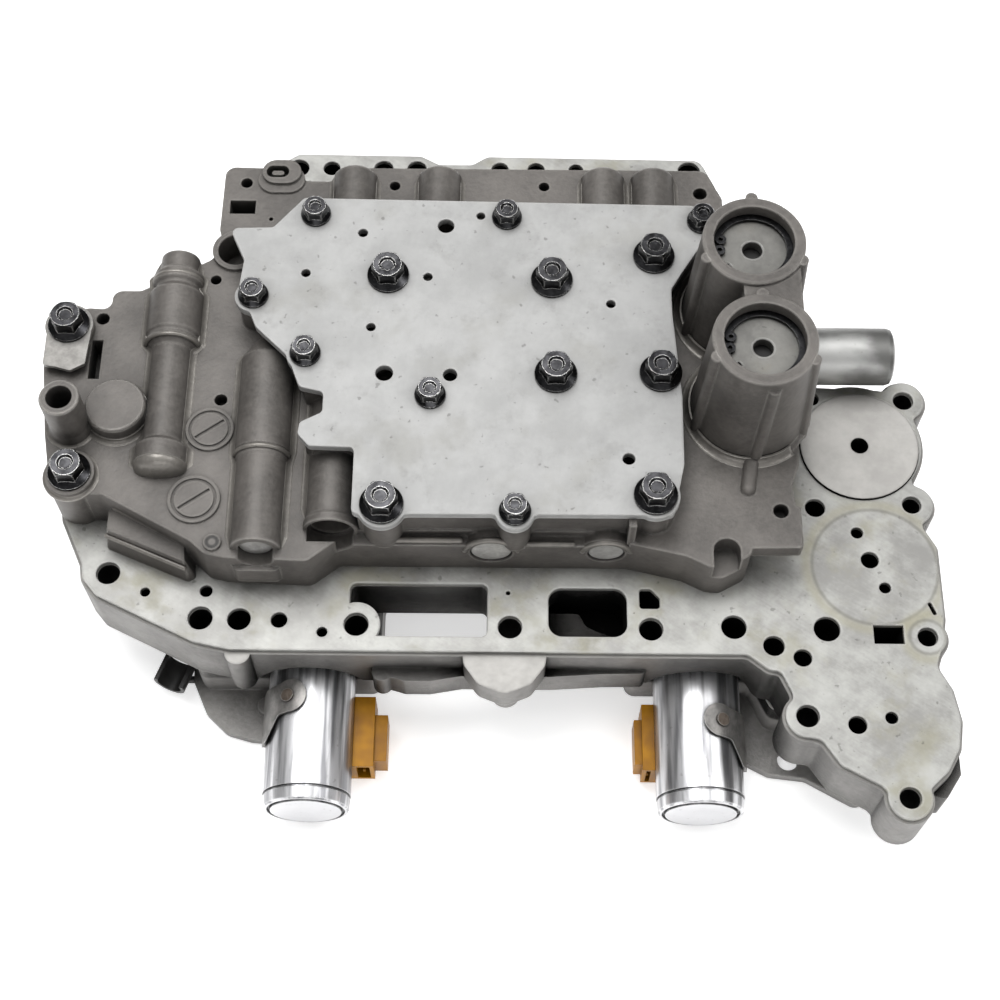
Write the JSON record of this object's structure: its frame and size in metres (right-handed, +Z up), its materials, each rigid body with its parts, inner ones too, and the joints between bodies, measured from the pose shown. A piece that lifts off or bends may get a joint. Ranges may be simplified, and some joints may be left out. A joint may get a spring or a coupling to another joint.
{
  "type": "transmission valve body",
  "caption": "Automatic transmission control valve body: stacked aluminium castings with valve bores, accumulator towers, cover plate and front solenoids.",
  "frame": {"origin": "a point on the flat base face, near the middle of the part", "axes": "+Z up from the base face, +X to the right along the longest side, +Y to the rear, away from the two solenoid cans"},
  "size_m": [0.3194, 0.2686, 0.119],
  "materials": {
    "base_casting": "as cast, medium grey",
    "middle_casting": "as cast with machined faces",
    "upper_casting": "as cast, darkened by oil",
    "plate_steel": "rolled sheet with faint stains",
    "cover_steel": "light satin sheet",
    "bolt_steel": "dark oxide with bright edges",
    "zinc_steel": "zinc plated sheet",
    "ground_steel": "ground",
    "spring_steel": "drawn wire, dark",
    "turned_aluminium": "turned",
    "seal_rubber": "moulded rubber",
    "solenoid_can": "bright drawn can",
    "amber_plastic": "moulded amber plastic",
    "black_plastic": "moulded black plastic"
  },
  "bodies": {
    "valve_body": {"base_body": "base_casting", "lower_separator_plate": "plate_steel", "main_body": "middle_casting", "separator_plate": "plate_steel", "upper_body": "upper_casting", "cover_plate": "cover_steel", "cover_bolts_m6": "bolt_steel", "cover_bolts_m5": "bolt_steel", "side_bolts": "bolt_steel", "harness_bracket": "zinc_steel", "base_screws": "bolt_steel", "dowel_pins": "ground_steel", "check_balls": "ground_steel", "accumulator_cap_rear": "turned_aluminium", "accumulator_cap_front": "turned_aluminium", "snap_ring_rear": "spring_steel", "snap_ring_front": "spring_steel", "accumulator_spring_rear": "spring_steel", "accumulator_spring_front": "spring_steel", "solenoid_left": "solenoid_can", "solenoid_right": "solenoid_can", "connector_left": "amber_plastic", "connector_right": "amber_plastic", "keeper_left": "zinc_steel", "keeper_right": "zinc_steel", "keeper_rivets": "zinc_steel", "solenoid_rear": "solenoid_can", "solenoid_o_rings": "seal_rubber", "wire_clip": "black_plastic", "shift_valve_spring": "spring_steel", "shift_valve_plug": "ground_steel", "shift_valve_plug_key": "ground_steel", "lockup_valve_spring": "spring_steel", "lockup_valve_plug": "ground_steel", "lockup_valve_plug_key": "ground_steel", "relay_valve_spring": "spring_steel", "relay_valve_plug": "ground_steel", "relay_valve_plug_key": "ground_steel", "pressure_valve_spring": "spring_steel", "pressure_valve_plug": "ground_steel", "pressure_valve_plug_key": "ground_steel", "control_valve_spring": "spring_steel", "control_valve_plug": "ground_steel", "control_valve_plug_key": "ground_steel"},
    "piston_rear": {"accumulator_piston_rear": "turned_aluminium", "piston_seal_rear": "seal_rubber"},
    "piston_front": {"accumulator_piston_front": "turned_aluminium", "piston_seal_front": "seal_rubber"},
    "shift_valve_spool": {"shift_valve_spool": "ground_steel"},
    "lockup_valve_spool": {"lockup_valve_spool": "ground_steel"},
    "relay_valve_spool": {"relay_valve_spool": "ground_steel"},
    "pressure_valve_spool": {"pressure_valve_spool": "ground_steel"},
    "control_valve_spool": {"control_valve_spool": "ground_steel"}
  },
  "joints": [
    {"name": "piston_rear_travel", "type": "slide", "parent": "valve_body", "child": "piston_rear", "axis": [0, 0, -1], "range_m": [0, 0.012], "stiffness_N_per_m": 2000, "springref_m": -0.01, "deforming": ["accumulator_spring_rear"]},
    {"name": "piston_front_travel", "type": "slide", "parent": "valve_body", "child": "piston_front", "axis": [0, 0, -1], "range_m": [0, 0.012], "stiffness_N_per_m": 2000, "springref_m": -0.01, "deforming": ["accumulator_spring_front"]},
    {"name": "shift_valve_travel", "type": "slide", "parent": "valve_body", "child": "shift_valve_spool", "axis": [0, -1, 0], "range_m": [0, 0.005], "stiffness_N_per_m": 1200, "springref_m": -0.004, "deforming": ["shift_valve_spring"]},
    {"name": "lockup_valve_travel", "type": "slide", "parent": "valve_body", "child": "lockup_valve_spool", "axis": [0, 1, 0], "range_m": [0, 0.005], "stiffness_N_per_m": 1200, "springref_m": -0.004, "deforming": ["lockup_valve_spring"]},
    {"name": "relay_valve_travel", "type": "slide", "parent": "valve_body", "child": "relay_valve_spool", "axis": [0, 1, 0], "range_m": [0, 0.005], "stiffness_N_per_m": 1200, "springref_m": -0.004, "deforming": ["relay_valve_spring"]},
    {"name": "pressure_valve_travel", "type": "slide", "parent": "valve_body", "child": "pressure_valve_spool", "axis": [0, 1, 0], "range_m": [0, 0.005], "stiffness_N_per_m": 1200, "springref_m": -0.004, "deforming": ["pressure_valve_spring"]},
    {"name": "control_valve_travel", "type": "slide", "parent": "valve_body", "child": "control_valve_spool", "axis": [0, 1, 0], "range_m": [0, 0.005], "stiffness_N_per_m": 1200, "springref_m": -0.004, "deforming": ["control_valve_spring"]}
  ]
}
